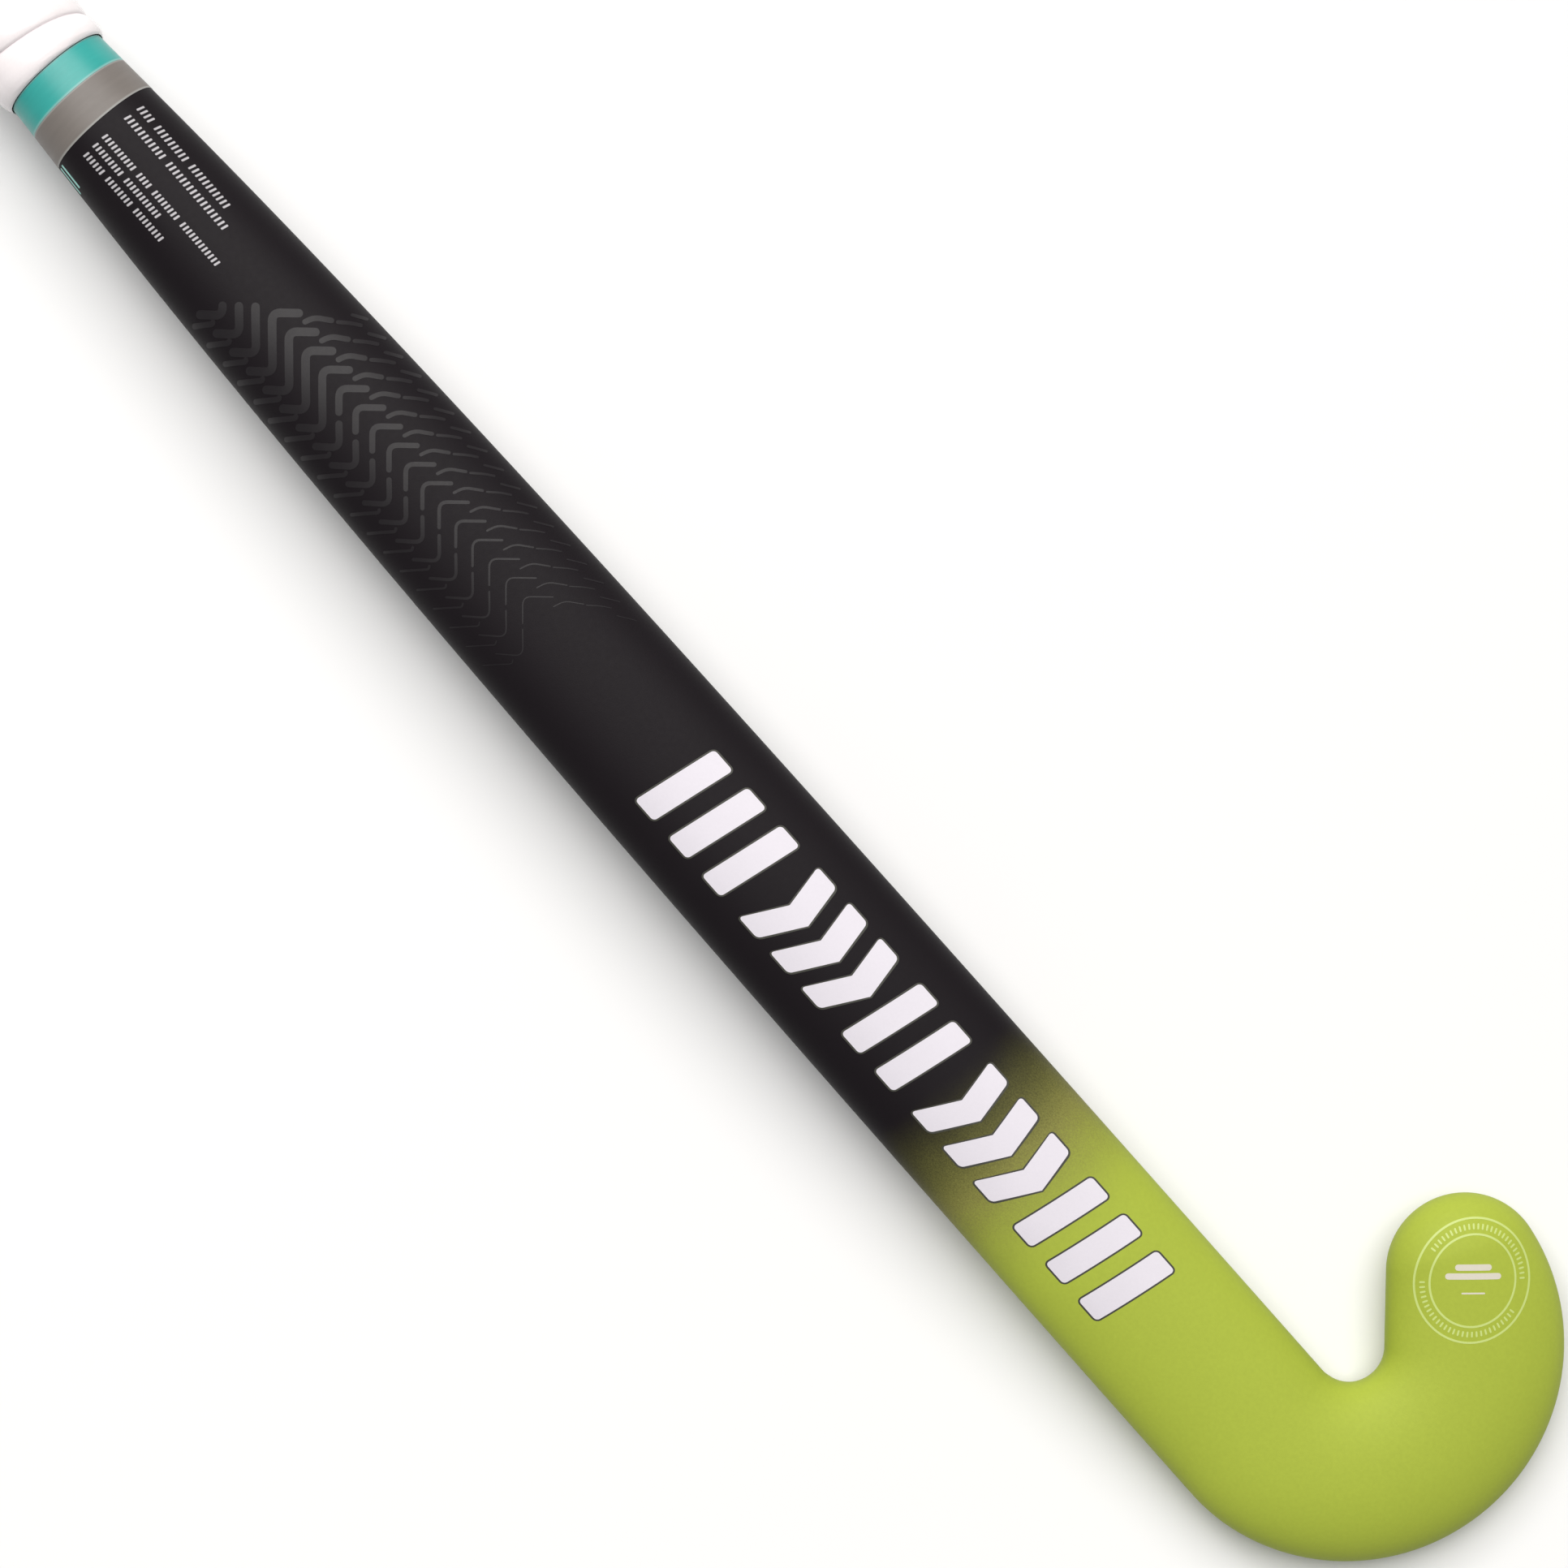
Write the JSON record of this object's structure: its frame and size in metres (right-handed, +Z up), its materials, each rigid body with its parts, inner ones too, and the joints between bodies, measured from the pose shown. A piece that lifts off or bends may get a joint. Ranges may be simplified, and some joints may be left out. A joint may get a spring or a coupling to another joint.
{
  "type": "field hockey stick",
  "caption": "Adult composite field hockey stick with a J-shaped head, rounded back, bowed shaft, wound grip, tape bands and a butt cap.",
  "frame": {"origin": "under the middle of the stick's box, on the table that it lies on face down", "axes": "+X from the butt to the head, +Y towards the toe side, +Z up out of the rounded back"},
  "size_m": [0.927, 0.1166, 0.0461],
  "materials": {
    "painted_laminate": "soft-touch matte paint, black fading to lime green at the head",
    "bare_laminate": "cured carbon and glass laminate",
    "core_foam": "closed-cell foam",
    "fibre_strip": "straight carbon fibre in resin",
    "reinforcing_ply": "woven aramid fibre in resin",
    "head_filler": "fibre-filled resin foam",
    "gel": "soft translucent gel",
    "plug_plastic": "moulded nylon",
    "cap_rubber": "satin white moulded cap",
    "underlay_tape": "double-sided cloth tape",
    "grip_polyurethane": "glossy tacky polyurethane",
    "teal_tape": "satin vinyl tape",
    "grey_tape": "satin vinyl tape"
  },
  "bodies": {
    "root": {"outer_shell": "painted_laminate", "toe_side_tube": "bare_laminate", "heel_side_tube": "bare_laminate", "toe_side_foam_core": "core_foam", "heel_side_foam_core": "core_foam", "back_fibre_strip": "fibre_strip", "face_fibre_strip": "fibre_strip", "head_reinforcing_ply": "reinforcing_ply", "head_core": "head_filler", "vibration_insert": "gel", "butt_plug": "plug_plastic", "butt_cap": "cap_rubber", "grip_underlay": "underlay_tape", "grip_wrap": "grip_polyurethane", "finishing_tape": "teal_tape", "border_tape": "grey_tape"}
  },
  "joints": []
}
